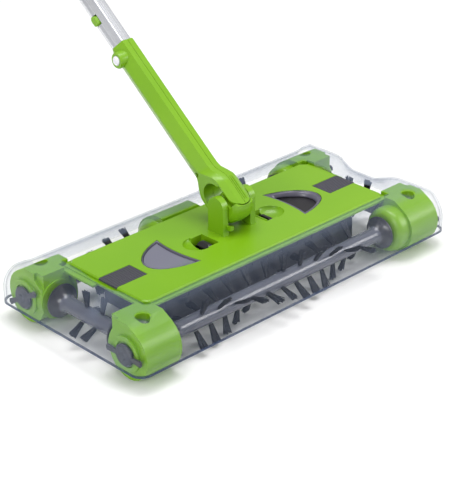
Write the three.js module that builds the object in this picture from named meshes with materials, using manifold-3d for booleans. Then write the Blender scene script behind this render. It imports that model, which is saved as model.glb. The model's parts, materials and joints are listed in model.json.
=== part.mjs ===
// Cordless four-sided carpet sweeper, in millimetres, +Z up.
// Origin: middle of the sweeping head, on the floor. X runs along the head, -Y is its front.
// The pole leans back towards +Y, as it does when the sweeper is pushed under furniture.
import * as THREE from 'three';
import { mergeVertices } from 'three/addons/utils/BufferGeometryUtils.js';
import Module from 'manifold-3d';

const wasm = await Module();
wasm.setup();

// ---------- driving dimensions ----------
const GAP = 0.3; // between pieces that touch
const FIT = 0.25; // running clearance round a shaft

const ROLL = { x: 135, y: 55, z: 21.2, tube: 6, shaft: 2.6, tip: 20.2, shortTip: 18.8 };
const FLARE = { rim: 12.8, length: 11, rimWidth: 1.2 };
const LONG_ROLL = { left: -115, right: 104, shaftEnd: 153.4 };
const SHORT_ROLL = { half: 33, shaftEnd: 48.6 };
const SLEEVE = { inner: ROLL.tube + FIT, outer: ROLL.tube + 0.9 };
const TUFT = { root: 3.4, tip: 6.4, thick: 1.8, pitch: 15, rows: 3 };

const PLATE = { x: 123.6, y: 45.2, bottom: 39.4, ledge: 41, top: 43.5, step: 2.4, bevel: 0.9, corner: 4 };
const SHOULDER = { x: 127.5, y0: 6, y1: 43.5, bottom: 38.6, top: 40.2 };
const EAR = { inner: 11.2, outer: 16.5, half: 8, relief: 0.8, reliefX: 15.1 };
const PIVOT_Z = 64;
const WINDOW = {
  bezelTop: 42.6, bezelBottom: 39.4, rimTop: 43.3,
  rimWidth: 0.9, lensTop: 39, lensBottom: 37.7,
};
// The left window shows its lens almost flush inside a thin rim; the right one is a deep, broad-rimmed port.
const WINDOW_SIDE = { left: { rim: 1.7, lensTop: 42.1 }, right: { rim: 4.6, lensTop: 39 } };
const PAD = { x0: 93.5, x1: 121.4, y0: -12, y1: 7, floor: 41.6, base: 43.1, top: 43.6, ribs: 10 };
const POCKET = { x: 36, y: -2.6, rx: 12.7, ry: 10.7, deep: 5.8, wall: 1.6, bottom: 36.5 };
const SLOT = { x0: 25.3, x1: 35.2, y0: -12, y1: 6.3, ridge: 0.9, ridgeTop: 44.1 };

const DRUM = { r: 19.6, inner: 118, outer: 149, bore: ROLL.shaft + FIT, chamber: 16, wall: 2 };
const BLOCK = { top: 43.2, flatEnd: 55.8, y: 44.5, x0: 124.3, x1: 146.5, y0: 37, y1: 50, z0: 28 };
const NOSE = { end: 106.5, r: 17.6, round: 5 };
const COLLAR = { r: 15, end: 36, inner: 50, chamber: 12.2 };
const WELL = { r: 5.2, deep: 7, screwHead: 4.2 };
const FOOT = { x: 131, y: 52, r: 5, top: 6 };
const END_RING = { r0: 9.6, r1: 13.2, out: 151 };

const COVER = { x: 157.5, y: 77, bottom: 12.5, crest: 44.9, axisZ: 23, thick: 1.2, corner: 9 };
const COVER_OPENING = { x: 124.4, y: 46.1, corner: 2 };
const COVER_DIP = 3; // the crest sinks this much in the middle of each short side
// Part of the cover's width that is flat before it curves down: over the rolls, and over a housing's end.
const COVER_FLAT = { roll: 0.29, end: 0.76 };

const WHISKER = { disc: 8.4, hub: 3.4, x0: 151.3, x1: 153.6, reach: 17.8, width: 4.6, thick: 1.6 };

const MITER = {
  teeth: 10, pitchRadius: 9, face: 4.4, addendum: 0.95,
  dedendum: 1.6, rootHalf: 0.26, tipHalf: 0.09,
};
const SPUR = { module: 1.28, gearTeeth: 22, pinionTeeth: 8, x0: 6.5, x1: 11.5 };
const MOTOR = { y: 36, z: 24, r: 8.8, x0: -25, x1: 3, shaft: 1.2 };
const DRIVE = { x0: -28, x1: 15, bayY: 24, bayBottom: 11, bayTop: 36.6, wall: 2.4 };

const TRAY = { x: 96, y: 33.4, bottom: 5, top: 36.8, lip: 33.5, wall: 1.8, corner: 11, openX: 86 };
const TRAY_NOTCH = { x0: -31.5, x1: 18.5, y: 22 };
const TRAY_SLOT = { pitch: 15.6, count: 11, width: 8.5, z0: 27.6, z1: 30.2, deep: 0.7 };
const LATCH = {
  x0: 29.4, x1: 32.4, y0: -10.6, y1: 1.2, foot: 34.4,
  top: 43, hook: 2.2, hookBottom: 39.6, round: 3,
};

const TILT = THREE.MathUtils.degToRad(51); // lean of the pole from upright at rest
const PIN = { r: 3, half: 15 };
const ARM_BACK = 3.5; // the arm's own axis lies this far behind the tilt pin
const HEAD = { halfX: 9.4, halfY: 15.6, sweep: 19.6, archR: 9.9, archZ: 10 };
const SWIVEL = {
  flat: 9.6, belly: 15.5, dome: 10.7, crown: 9.6,
  rounding: 4, recess: 10.1, lip: 11.4, lipTop: 7,
};
const NECK = { halfX: 6.2, y0: 9.6, y1: 12, top: 12 }; // room for the ears when the arm leans
const TRUNNION = { r: 4, end: 13.2 };
const ARM = { top: 148 };
const POLE = { flat: 7.6, corner: 1.6, wall: 1.1, from: 82, to: 446 };
const BOSS = { z: 137.5, r: 6.4, out: 13.4, button: 3.7, buttonOut: 14.8, shoulder: 11.2 };
const TUBE_BUTTON = { z: 174, w: 5.2, h: 8.4, out: 10.2, from: 5.2 };

const BATTERY = { y: -31, r: 21.5, z0: 226, z1: 366, chamfer: 26, wall: 2, clampR: 12.2, clampTop: 350 };
const BATTERY_CAP = { top: 378, skirt: 2.2 };
const PACK = { r: 15.5, z0: 262, z1: 360 };
const SWITCH = { z: 256, w: 14, h: 22, half: 5.2, rocker: 8.4, out: 2 };

const ELBOW = {
  z: 469, r: 21, tongue: 6, cheek: 14.6, pin: 4,
  collar: 11.6, low: 428, high: 534, neck: 10.5,
};
const ELBOW_BUTTON = { z: 500, r: 4.4, from: 10.2, out: 15.6 };
const UPPER = { r: 9.1, wall: 1, from: 508, to: 1192 };
const RING = { z: 887, half: 3, r: 10.3 };
const GRIP = { z0: 1041, z1: 1199, r: 10.9, wall: 1.5 };
const CAP = { z1: 1244, r: 10.9 };
const SCRAPER = {
  x: 19.5, z0: 846, z1: 992, half: 4.2,
  thick: 2.4, hook: 9, sleeveTop: 896, sleeveBottom: 838,
};

const ROUND = 20; // sides of a visible round piece
const FINE = 28; // sides of a large round piece
const COARSE = 12; // sides of a small or hidden round piece

// ---------- solids and booleans ----------
function toSolid(shape) {
  if (!shape.isBufferGeometry) return shape;
  const bare = shape.clone();
  bare.deleteAttribute('normal');
  bare.deleteAttribute('uv');
  const merged = mergeVertices(bare, 1e-4);
  const vertProperties = Float32Array.from(merged.attributes.position.array);
  const triVerts = Uint32Array.from(merged.index.array);
  return new wasm.Manifold(new wasm.Mesh({ numProp: 3, vertProperties, triVerts }));
}

const join = (...shapes) => shapes.map(toSolid).reduce((whole, piece) => whole.add(piece));
const cut = (shape, ...tools) =>
  tools.map(toSolid).reduce((rest, tool) => rest.subtract(tool), toSolid(shape));
const common = (...shapes) => shapes.map(toSolid).reduce((whole, piece) => whole.intersect(piece));

function toGeometry(shape) {
  if (shape.isBufferGeometry) return shape;
  const mesh = shape.getMesh();
  const geometry = new THREE.BufferGeometry();
  geometry.setAttribute('position', new THREE.BufferAttribute(mesh.vertProperties, 3));
  geometry.setIndex(new THREE.BufferAttribute(mesh.triVerts, 1));
  geometry.computeVertexNormals();
  return geometry;
}

// ---------- basic shapes ----------
function box(x0, x1, y0, y1, z0, z1) {
  const block = new THREE.BoxGeometry(Math.abs(x1 - x0), Math.abs(y1 - y0), Math.abs(z1 - z0));
  return block.translate((x0 + x1) / 2, (y0 + y1) / 2, (z0 + z1) / 2);
}

const TO_X = new THREE.Matrix4().makeBasis(
  new THREE.Vector3(0, 1, 0), new THREE.Vector3(0, 0, 1), new THREE.Vector3(1, 0, 0));
const TO_Y = new THREE.Matrix4().makeBasis(
  new THREE.Vector3(0, 0, 1), new THREE.Vector3(1, 0, 0), new THREE.Vector3(0, 1, 0));

// An outline in the plane across `axis`, drawn out from `from` to `to`.
// The outline's own two axes are (y, z) for X, (z, x) for Y and (x, y) for Z.
function prism(outline, axis, from, to, curveSegments = 6) {
  const shape = outline instanceof THREE.Shape ? outline : new THREE.Shape(outline);
  const options = { depth: to - from, bevelEnabled: false, curveSegments };
  const solid = new THREE.ExtrudeGeometry(shape, options).translate(0, 0, from);
  if (axis === 'x') solid.applyMatrix4(TO_X);
  if (axis === 'y') solid.applyMatrix4(TO_Y);
  return solid;
}

// A turned piece: rows of [distance along the axis, radius], starting and ending on the axis.
function turned(rows, axis, sides = ROUND) {
  const profile = rows.map(([along, radius]) => new THREE.Vector2(radius, along));
  const solid = new THREE.LatheGeometry(profile, sides).rotateX(Math.PI / 2);
  if (axis === 'x') solid.rotateY(Math.PI / 2);
  if (axis === 'y') solid.rotateX(-Math.PI / 2);
  return solid;
}

function rod(radius, axis, from, to, sides = COARSE) {
  return turned([[from, 0], [from, radius], [to, radius], [to, 0]], axis, sides);
}

// A stack of outlines with the same number of points, closed with a flat cap at each end.
function loft(rings) {
  const count = rings[0].length;
  const positions = rings.flat(2);
  const index = [];
  for (let level = 0; level + 1 < rings.length; level += 1) {
    for (let i = 0; i < count; i += 1) {
      const a = level * count + i;
      const b = level * count + ((i + 1) % count);
      index.push(a, b, a + count, b, b + count, a + count);
    }
  }
  const last = (rings.length - 1) * count;
  const flat = (ring) => ring.map(([x, y]) => new THREE.Vector2(x, y));
  for (const [i, j, k] of THREE.ShapeUtils.triangulateShape(flat(rings[0]), [])) index.push(i, k, j);
  const top = THREE.ShapeUtils.triangulateShape(flat(rings[rings.length - 1]), []);
  for (const [i, j, k] of top) index.push(last + i, last + j, last + k);
  const geometry = new THREE.BufferGeometry();
  geometry.setAttribute('position', new THREE.Float32BufferAttribute(positions, 3));
  geometry.setIndex(index);
  return geometry;
}

const at = (points, z) => points.map(({ x, y }) => [x, y, z]);

// Draws a closed outline in towards its middle, by `margin` at its widest places.
function inset(points, margin) {
  const bounds = new THREE.Box2().setFromPoints(points);
  const middle = bounds.getCenter(new THREE.Vector2());
  const size = bounds.getSize(new THREE.Vector2());
  const scale = new THREE.Vector2(1 - (2 * margin) / size.x, 1 - (2 * margin) / size.y);
  return points.map((point) => point.clone().sub(middle).multiply(scale).add(middle));
}

function anticlockwise(points) {
  return THREE.ShapeUtils.isClockWise(points) ? [...points].reverse() : points;
}

// ---------- materials ----------
const material = (color, roughness, metalness = 0) =>
  new THREE.MeshStandardMaterial({ color, roughness, metalness });
const GREEN = material(0x7fb822, 0.3);
const DARK_GREEN = material(0x0a3d12, 0.4);
const DARK = material(0x55555f, 0.45);
const BRISTLE = material(0x1b1a1d, 0.8);
const CLEAR = material(0xdfe8f5, 0.08);
CLEAR.transparent = true;
CLEAR.opacity = 0.3;
const SMOKE = material(0x3b3a44, 0.15);
const STEEL = material(0xd9dbe0, 0.25, 0.9);
const WHITE = material(0xe9e8ee, 0.35);

// ---------- sweeping head ----------
function plateOutline(edge) {
  const x = PLATE.x - edge;
  const y = PLATE.y - edge;
  const c = PLATE.corner;
  const corners = [
    [x, -y + c], [x, y - c], [x - c, y], [-x + c, y], [-x, y - c], [-x, -y + c], [-x + c, -y], [x - c, -y],
  ];
  return corners.map(([a, b]) => new THREE.Vector2(a, b));
}

// The sail-shaped opening over the dust tray, on the side given by its sign.
function windowOutline(side) {
  const shape = new THREE.Shape();
  shape.moveTo(54, 22.5);
  shape.quadraticCurveTo(59, 0, 53, -24);
  shape.bezierCurveTo(70, -22, 86, -16, 87, -5);
  shape.bezierCurveTo(88, 8, 70, 19, 54, 22.5);
  const points = shape.getPoints(7).slice(0, -1);
  return anticlockwise(points.map(({ x, y }) => new THREE.Vector2(side * x, y)));
}

function ear(side) {
  const shape = new THREE.Shape();
  shape.moveTo(-EAR.half - 1, PLATE.top - 2);
  shape.lineTo(EAR.half + 1, PLATE.top - 2);
  shape.lineTo(EAR.half, PLATE.top + 3);
  shape.absarc(0, PIVOT_Z, EAR.half, 0, Math.PI);
  shape.lineTo(-EAR.half, PLATE.top + 3);
  const [x0, x1] = [side * EAR.inner, side * EAR.outer].sort((a, b) => a - b);
  const stop = join(box(-EAR.inner - 1.4, -EAR.inner, -11.5, -6, 47.5, 51),
    box(-EAR.inner - 1.4, -EAR.inner + 2.2, -11.5, -9.4, 47.5, 50.5));
  const pinHole = rod(PIN.r + FIT, 'x', -PIN.half - GAP, PIN.half + GAP).translate(0, 0, PIVOT_Z);
  // The inner rear edge is planed away, so that the arm can lean when it lies almost flat.
  const relief = [
    [EAR.inner - 1, EAR.relief],
    [EAR.inner, EAR.relief],
    [EAR.reliefX, EAR.half + 1],
    [EAR.inner - 1, EAR.half + 1],
  ].map(([x, y]) => new THREE.Vector2(side * x, y));
  const plane = prism(anticlockwise(relief), 'z', PLATE.top, PIVOT_Z + EAR.half + 1);
  const blade = cut(prism(shape, 'x', x0, x1), pinHole, plane);
  return side < 0 ? join(blade, stop) : blade;
}

function ellipse(centreX, centreY, rx, ry, steps = 20) {
  return Array.from({ length: steps }, (_, i) => {
    const angle = (i / steps) * 2 * Math.PI;
    return new THREE.Vector2(centreX + rx * Math.cos(angle), centreY + ry * Math.sin(angle));
  });
}

// The finger bowl beside a tray latch, with the slot the latch stands in.
function pocket(side) {
  const bowl = new THREE.SphereGeometry(1, 18, 10).scale(POCKET.rx, POCKET.ry, POCKET.deep);
  bowl.translate(side * POCKET.x, POCKET.y, PLATE.top + 0.2);
  const keep = box(side * SLOT.x1, side * 60, -20, 20, PLATE.bottom - 8, PLATE.top + 8);
  const slotEnd = side * (SLOT.x1 + 0.1);
  const slot = box(side * SLOT.x0, slotEnd, SLOT.y0, SLOT.y1, POCKET.bottom - 1, PLATE.top + 1);
  return join(common(bowl, keep), slot);
}

// The plate is thicker under a bowl, and has a low ridge along the slot's inner edge.
function pocketWall(side) {
  const { x, y, rx, ry, wall, bottom } = POCKET;
  const under = prism(ellipse(side * x, y, rx + wall, ry + wall), 'z', bottom, PLATE.ledge);
  const frame = box(side * (SLOT.x0 - wall), side * x, SLOT.y0 - wall, SLOT.y1 + wall, bottom, PLATE.ledge);
  const keep = box(side * (SLOT.x0 - wall), side * 60, -20, 20, bottom - 1, PLATE.top);
  const ridgeX = side * (SLOT.x0 - SLOT.ridge);
  const ridge = box(ridgeX, side * SLOT.x0, SLOT.y0, SLOT.y1, PLATE.ledge, SLOT.ridgeTop);
  return join(common(join(under, frame), keep), ridge);
}

function padPocket(side) {
  return box(side * (PAD.x0 - GAP), side * (PAD.x1 + GAP), PAD.y0 - GAP, PAD.y1 + GAP,
    PAD.floor, PLATE.top + 1);
}

function topPlate() {
  const base = loft([at(plateOutline(0), PLATE.bottom), at(plateOutline(0), PLATE.ledge)]);
  const crown = loft([
    at(plateOutline(PLATE.step), PLATE.ledge - 1),
    at(plateOutline(PLATE.step), PLATE.top - PLATE.bevel),
    at(plateOutline(PLATE.step + PLATE.bevel), PLATE.top),
  ]);
  const sides = [-1, 1];
  const shoulders = sides.map((side) =>
    box(side * (PLATE.x - 4), side * SHOULDER.x, SHOULDER.y0, SHOULDER.y1, SHOULDER.bottom, SHOULDER.top));
  const openings = sides.map((side) =>
    prism(windowOutline(side), 'z', PLATE.bottom - 1, PLATE.top + 1));
  const solid = join(base, crown, ...shoulders, ...sides.map(ear), ...sides.map(pocketWall));
  return cut(solid, ...openings, ...sides.map(pocket), ...sides.map(padPocket));
}

function windowBezel(side, { rim }) {
  const outline = windowOutline(side);
  const ring = loft([at(inset(outline, GAP), WINDOW.bezelBottom), at(inset(outline, GAP), WINDOW.rimTop)]);
  const shelf = loft([
    at(inset(outline, GAP + WINDOW.rimWidth), WINDOW.bezelTop),
    at(inset(outline, GAP + WINDOW.rimWidth), WINDOW.rimTop + 1),
  ]);
  const hole = loft([
    at(inset(outline, rim), WINDOW.bezelBottom - 1),
    at(inset(outline, rim), WINDOW.bezelBottom + 1),
    at(inset(outline, Math.max(rim - 1.6, WINDOW.rimWidth + 2 * GAP)), WINDOW.bezelTop + 0.6),
  ]);
  return cut(ring, shelf, hole);
}

function windowLens(side, { rim, lensTop }) {
  const flange = inset(windowOutline(side), GAP);
  const pane = loft([at(flange, WINDOW.lensBottom), at(flange, WINDOW.lensTop)]);
  if (lensTop === WINDOW.lensTop) return pane;
  const raised = inset(windowOutline(side), rim + GAP);
  return join(pane, loft([at(raised, WINDOW.lensTop - 0.5), at(raised, lensTop)]));
}

function treadPad(side) {
  const base = box(side * PAD.x0, side * PAD.x1, PAD.y0, PAD.y1, PAD.floor + GAP, PAD.base);
  const pitch = (PAD.y1 - PAD.y0) / PAD.ribs;
  const ribs = Array.from({ length: PAD.ribs }, (_, i) => {
    const y = PAD.y0 + (i + 0.5) * pitch;
    return box(side * PAD.x0, side * PAD.x1, y - pitch * 0.32, y + pitch * 0.32, PAD.base - 0.5, PAD.top);
  });
  return join(base, ...ribs);
}

// Section of a housing across the roll: a drum that rises into a flat-topped block over the roll.
function housingSection(sy, scale = 1) {
  const r = DRUM.r * scale;
  const rise = new THREE.Vector2(BLOCK.flatEnd - ROLL.y, BLOCK.top - ROLL.z);
  const tangent = rise.angle() - Math.acos(r / rise.length());
  const innerEdge = Math.PI - Math.acos((ROLL.y - BLOCK.y) / r);
  const steps = 20;
  const points = [new THREE.Vector2(BLOCK.y, BLOCK.top), new THREE.Vector2(BLOCK.flatEnd, BLOCK.top)];
  for (let i = 0; i <= steps; i += 1) {
    const angle = tangent + (i / steps) * (innerEdge - 2 * Math.PI - tangent);
    points.push(new THREE.Vector2(ROLL.y + r * Math.cos(angle), ROLL.z + r * Math.sin(angle)));
  }
  return anticlockwise(points.map(({ x, y }) => new THREE.Vector2(sy * x, y)));
}

const atRoll = (geometry, sy) => geometry.translate(0, sy * ROLL.y, ROLL.z);

function wellHole(sx, sy) {
  const well = rod(WELL.r, 'z', BLOCK.top - WELL.deep, COVER.crest + 5, ROUND);
  return well.translate(sx * ROLL.x, sy * ROLL.y, 0);
}

function cornerHousing(sx, sy) {
  const order = (a, b) => [a * sx, b * sx].sort((p, q) => p - q);
  const [x0, x1] = order(DRUM.inner, DRUM.outer);
  const drum = prism(housingSection(sy), 'x', x0, x1);
  const ring = atRoll(rod(END_RING.r1, 'x', ...order(DRUM.outer - 1, END_RING.out), FINE), sy);
  const ringDish = atRoll(rod(END_RING.r0, 'x', ...order(DRUM.outer + 0.4, END_RING.out + 1), FINE), sy);
  const block = box(sx * BLOCK.x0, sx * BLOCK.x1, sy * BLOCK.y0, sy * BLOCK.y1, BLOCK.z0, BLOCK.top);
  const collar = rod(COLLAR.r, 'y', ...[sy * COLLAR.end, sy * COLLAR.inner].sort((p, q) => p - q), FINE)
    .translate(sx * ROLL.x, 0, ROLL.z);
  const foot = rod(FOOT.r, 'z', 0, FOOT.top).translate(sx * FOOT.x, sy * FOOT.y, 0);
  const parts = [drum, ring, block, collar, foot];
  if (sx > 0) {
    const rows = [[NOSE.end, 0], [NOSE.end, NOSE.r - NOSE.round]];
    for (let i = 1; i <= 3; i += 1) {
      const turn = (i / 3) * (Math.PI / 2);
      rows.push([NOSE.end + NOSE.round * (1 - Math.cos(turn)), NOSE.r - NOSE.round * (1 - Math.sin(turn))]);
    }
    rows.push([DRUM.inner + 1, NOSE.r], [DRUM.inner + 1, 0]);
    parts.push(atRoll(turned(rows, 'x', FINE), sy));
  }
  const inside = order(DRUM.inner + DRUM.wall, DRUM.outer - DRUM.wall);
  const chamber = atRoll(rod(DRUM.chamber, 'x', ...inside), sy);
  const sideChamber = rod(COLLAR.chamber, 'y',
    ...[sy * (COLLAR.end + DRUM.wall), sy * COLLAR.inner].sort((p, q) => p - q))
    .translate(sx * ROLL.x, 0, ROLL.z);
  const longBore = atRoll(rod(DRUM.bore, 'x', ...order(NOSE.end - 5, END_RING.out + 5)), sy);
  const shortBore = rod(DRUM.bore, 'y', ...[sy * (COLLAR.end - 5), sy * ROLL.y].sort((p, q) => p - q))
    .translate(sx * ROLL.x, 0, ROLL.z);
  const plateX = PLATE.x + GAP;
  const plateY = PLATE.y + GAP;
  const plateRoom = box(-plateX, plateX, -plateY, plateY, PLATE.bottom - GAP, 60);
  const shoulderX = sx * (SHOULDER.x + GAP);
  const shoulderRoom = box(sx * 100, shoulderX, 0, SHOULDER.y1 + GAP, SHOULDER.bottom - GAP, 60);
  const outer = cut(join(...parts), ringDish, chamber, sideChamber, longBore, shortBore, wellHole(sx, sy));
  return cut(outer, plateRoom, shoulderRoom);
}

// Samples of a rounded rectangle: each corner arc, then extra points along the short sides.
// `ends` runs from 0 over the long rolls to 1 over the housings' ends; `dip` is 1 mid-way along a short
// side.
function roundedRing(halfX, halfY, radius, arcSteps, sideSteps) {
  const ring = [];
  const corners = [[1, 1, 0], [-1, 1, 1], [-1, -1, 2], [1, -1, 3]];
  for (const [sx, sy, quarter] of corners) {
    const toLongSide = sx * sy > 0;
    for (let i = 0; i <= arcSteps; i += 1) {
      const part = i / arcSteps;
      const angle = (quarter + part) * (Math.PI / 2);
      ring.push({
        x: sx * (halfX - radius) + radius * Math.cos(angle),
        y: sy * (halfY - radius) + radius * Math.sin(angle),
        dip: 0,
        ends: toLongSide ? 1 - part : part,
      });
    }
    if (toLongSide) continue;
    const straight = halfY - radius;
    for (let i = 1; i < sideSteps; i += 1) {
      const along = 1 - (2 * i) / sideSteps;
      const dip = 1 - THREE.MathUtils.smoothstep(Math.abs(along), 0.1, 0.6);
      const ends = THREE.MathUtils.smoothstep(Math.abs(along), 0.2, 0.5);
      ring.push({ x: sx * halfX, y: -sx * straight * along, dip, ends });
    }
  }
  return ring;
}

function coverSection(flat, width, rise, thick) {
  const steps = 5;
  const rows = [[0, rise - thick], [flat / 2, rise - thick]];
  const reach = 1 - flat - thick / width;
  for (let i = 0; i <= steps; i += 1) {
    const angle = (1 - i / steps) * (Math.PI / 2);
    rows.push([flat + reach * Math.cos(angle), (rise - thick) * Math.sin(angle)]);
  }
  rows.push([1 - thick / width, COVER.bottom - COVER.axisZ]);
  return rows;
}

function clearCover() {
  const outer = roundedRing(COVER.x, COVER.y, COVER.corner, 3, 8);
  const inner = roundedRing(COVER_OPENING.x, COVER_OPENING.y, COVER_OPENING.corner, 3, 8);
  const width = COVER.y - COVER_OPENING.y;
  const rise = COVER.crest - COVER.axisZ;
  const positions = [];
  const index = [];
  outer.forEach((out, i) => {
    const flat = THREE.MathUtils.lerp(COVER_FLAT.roll, COVER_FLAT.end, out.ends);
    const section = [
      ...coverSection(flat, width, rise, 0),
      ...coverSection(flat, width, rise, COVER.thick).reverse(),
    ];
    for (const [across, height] of section) {
      const drop = height > 0 ? COVER_DIP * out.dip * (height / rise) : 0;
      positions.push(
        inner[i].x + (out.x - inner[i].x) * across,
        inner[i].y + (out.y - inner[i].y) * across,
        COVER.axisZ + height - drop);
    }
    const next = (i + 1) % outer.length;
    for (let k = 0; k < section.length; k += 1) {
      const a = i * section.length + k;
      const b = i * section.length + ((k + 1) % section.length);
      const c = next * section.length + k;
      const d = next * section.length + ((k + 1) % section.length);
      index.push(a, b, c, b, d, c);
    }
  });
  const shell = new THREE.BufferGeometry();
  shell.setAttribute('position', new THREE.Float32BufferAttribute(positions, 3));
  shell.setIndex(index);
  const holes = [];
  for (const sx of [-1, 1]) {
    for (const sy of [-1, 1]) {
      holes.push(rod(WELL.r + 0.6, 'z', BLOCK.top - 3, COVER.crest + 3, ROUND)
        .translate(sx * ROLL.x, sy * ROLL.y, 0));
    }
  }
  return cut(shell, ...holes);
}

function coverScrew() {
  const floor = BLOCK.top - WELL.deep + GAP;
  return turned([[floor, 0], [floor, WELL.screwHead], [floor + 1.6, WELL.screwHead],
    [floor + 2.4, WELL.screwHead - 1], [floor + 2.4, 0]], 'z', COARSE);
}

// ---------- brush rolls ----------
function flare(rimAt, inward) {
  const rows = [[rimAt, FLARE.rim], [rimAt + inward * FLARE.rimWidth, FLARE.rim]];
  for (let i = 1; i <= 2; i += 1) {
    const t = i / 2;
    const radius = ROLL.tube + (FLARE.rim - ROLL.tube) * (1 - t) ** 2.2;
    rows.push([rimAt + inward * (FLARE.rimWidth + (FLARE.length - FLARE.rimWidth) * t), radius]);
  }
  return rows;
}

function longRoll(sy) {
  const end = LONG_ROLL.shaftEnd;
  const rows = [
    [-end, 0], [-end, ROLL.shaft], [LONG_ROLL.left, ROLL.shaft],
    ...flare(LONG_ROLL.left, 1),
    ...flare(LONG_ROLL.right, -1).reverse(),
    [LONG_ROLL.right, ROLL.shaft], [end, ROLL.shaft], [end, 0],
  ];
  return atRoll(turned(rows, 'x', COARSE), sy);
}

// A miter gear with its pitch cone's tip at the origin and its back facing -Z.
function miterGear() {
  const { teeth, pitchRadius, face, addendum, dedendum, rootHalf, tipHalf } = MITER;
  const shrink = 1 - face / (pitchRadius * Math.SQRT2);
  const step = (2 * Math.PI) / teeth;
  const outline = [];
  for (let i = 0; i < teeth; i += 1) {
    const flank = [[-dedendum, rootHalf], [addendum, tipHalf]];
    const corners = [...flank.map(([height, half]) => [height, -half]), ...flank.reverse()];
    for (const [height, half] of corners) {
      const radius = pitchRadius + height * Math.SQRT1_2;
      const angle = (i + half) * step;
      outline.push([radius * Math.cos(angle), radius * Math.sin(angle), height * Math.SQRT1_2 - pitchRadius]);
    }
  }
  return loft([outline, outline.map((point) => point.map((value) => value * shrink))]);
}

// Turns a miter gear so that its axis lies along X or Y, facing outwards, with a tooth or a gap inwards.
function placedMiter(axis, sx, sy, gap) {
  const gear = miterGear();
  if (gap) gear.rotateZ(Math.PI / MITER.teeth);
  const outward = axis === 'x' ? new THREE.Vector3(sx, 0, 0) : new THREE.Vector3(0, sy, 0);
  const inward = axis === 'x' ? new THREE.Vector3(0, -sy, 0) : new THREE.Vector3(-sx, 0, 0);
  const third = new THREE.Vector3().crossVectors(outward, inward);
  gear.applyMatrix4(new THREE.Matrix4().makeBasis(inward, third, outward));
  return gear.translate(sx * ROLL.x, sy * ROLL.y, ROLL.z);
}

function bevelGear(sx, sy) {
  const bore = atRoll(rod(DRUM.bore, 'x', -160, 160), sy);
  return cut(placedMiter('x', sx, sy, false), bore);
}

function shortRoll(sx) {
  const end = SHORT_ROLL.half;
  const rows = [
    [-SHORT_ROLL.shaftEnd, 0], [-SHORT_ROLL.shaftEnd, ROLL.shaft], [-end, ROLL.shaft],
    ...flare(-end, 1),
    ...flare(end, -1).reverse(),
    [end, ROLL.shaft], [SHORT_ROLL.shaftEnd, ROLL.shaft], [SHORT_ROLL.shaftEnd, 0],
  ];
  const core = turned(rows, 'y', COARSE).translate(sx * ROLL.x, 0, ROLL.z);
  return join(core, placedMiter('y', sx, 1, true), placedMiter('y', sx, -1, true));
}

function tuft(along, turn, tip) {
  const lower = [[-TUFT.root / 2, -TUFT.thick / 2], [TUFT.root / 2, -TUFT.thick / 2],
    [TUFT.root / 2, TUFT.thick / 2], [-TUFT.root / 2, TUFT.thick / 2]];
  const spread = TUFT.tip / TUFT.root;
  const wedge = loft([
    lower.map(([x, y]) => [x, y, SLEEVE.inner + 0.3]),
    lower.map(([x, y]) => [x * spread, y, tip]),
  ]);
  return wedge.rotateX(turn).translate(along, 0, 0);
}

// Tufts in helical rows on a thin sleeve; `skip` keeps a stretch of the roll bare.
function bristles(from, to, tip, skip, twist) {
  const sleeve = cut(rod(SLEEVE.outer, 'x', from, to, 12), rod(SLEEVE.inner, 'x', from - 1, to + 1, 12));
  const count = Math.floor((to - from - TUFT.tip) / TUFT.pitch);
  const start = (from + to) / 2 - ((count - 1) / 2) * TUFT.pitch;
  const tufts = [];
  for (let row = 0; row < TUFT.rows; row += 1) {
    for (let i = 0; i < count; i += 1) {
      const along = start + i * TUFT.pitch + ((row % 2) - 0.5) * (TUFT.pitch / 3);
      const bare = skip && along > skip[0] && along < skip[1];
      if (!bare) tufts.push(tuft(along, ((row / TUFT.rows) + (along / 260) * twist) * 2 * Math.PI, tip));
    }
  }
  return toGeometry(join(sleeve, ...tufts));
}

function longBristles(sy) {
  const from = LONG_ROLL.left + FLARE.length + 1;
  const to = LONG_ROLL.right - FLARE.length - 1;
  const skip = sy > 0 ? [DRIVE.x0 - 9, DRIVE.x1 + 6] : null;
  return atRoll(bristles(from, to, ROLL.tip, skip, 0.8), sy);
}

function shortBristles(sx) {
  const half = SHORT_ROLL.half - FLARE.length - 1;
  return bristles(-half, half, ROLL.shortTip, null, -0.8).rotateZ(Math.PI / 2)
    .translate(sx * ROLL.x, 0, ROLL.z);
}

// The end cap of a long roll: a dished disc with two opposite side whiskers.
function sideWhisker(sx, sy) {
  const disc = turned([
    [WHISKER.x0, 0], [WHISKER.x0, WHISKER.disc], [WHISKER.x1 - 1, WHISKER.disc],
    [WHISKER.x1, WHISKER.disc - 1.4], [WHISKER.x1, WHISKER.hub], [WHISKER.x1 + 0.8, WHISKER.hub - 1],
    [WHISKER.x1 + 0.8, 0],
  ], 'x', ROUND);
  const paddles = [-1, 1].map((way) => {
    const near = WHISKER.width * 0.3;
    const far = WHISKER.width / 2;
    const outline = [
      [-near, 6], [near, 6], [far, WHISKER.reach - 1], [0, WHISKER.reach], [-far, WHISKER.reach - 1],
    ].map(([a, b]) => new THREE.Vector2(way * b, way * a));
    return prism(anticlockwise(outline), 'x', WHISKER.x0 + 0.3, WHISKER.x0 + 0.3 + WHISKER.thick);
  });
  const socket = rod(ROLL.shaft + FIT, 'x', WHISKER.x0 - 1, LONG_ROLL.shaftEnd + FIT);
  const cap = toGeometry(cut(join(disc, ...paddles), socket));
  if (sx < 0) cap.rotateZ(Math.PI);
  if (sy > 0) cap.rotateX(THREE.MathUtils.degToRad(150));
  return atRoll(cap, sy);
}

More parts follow.
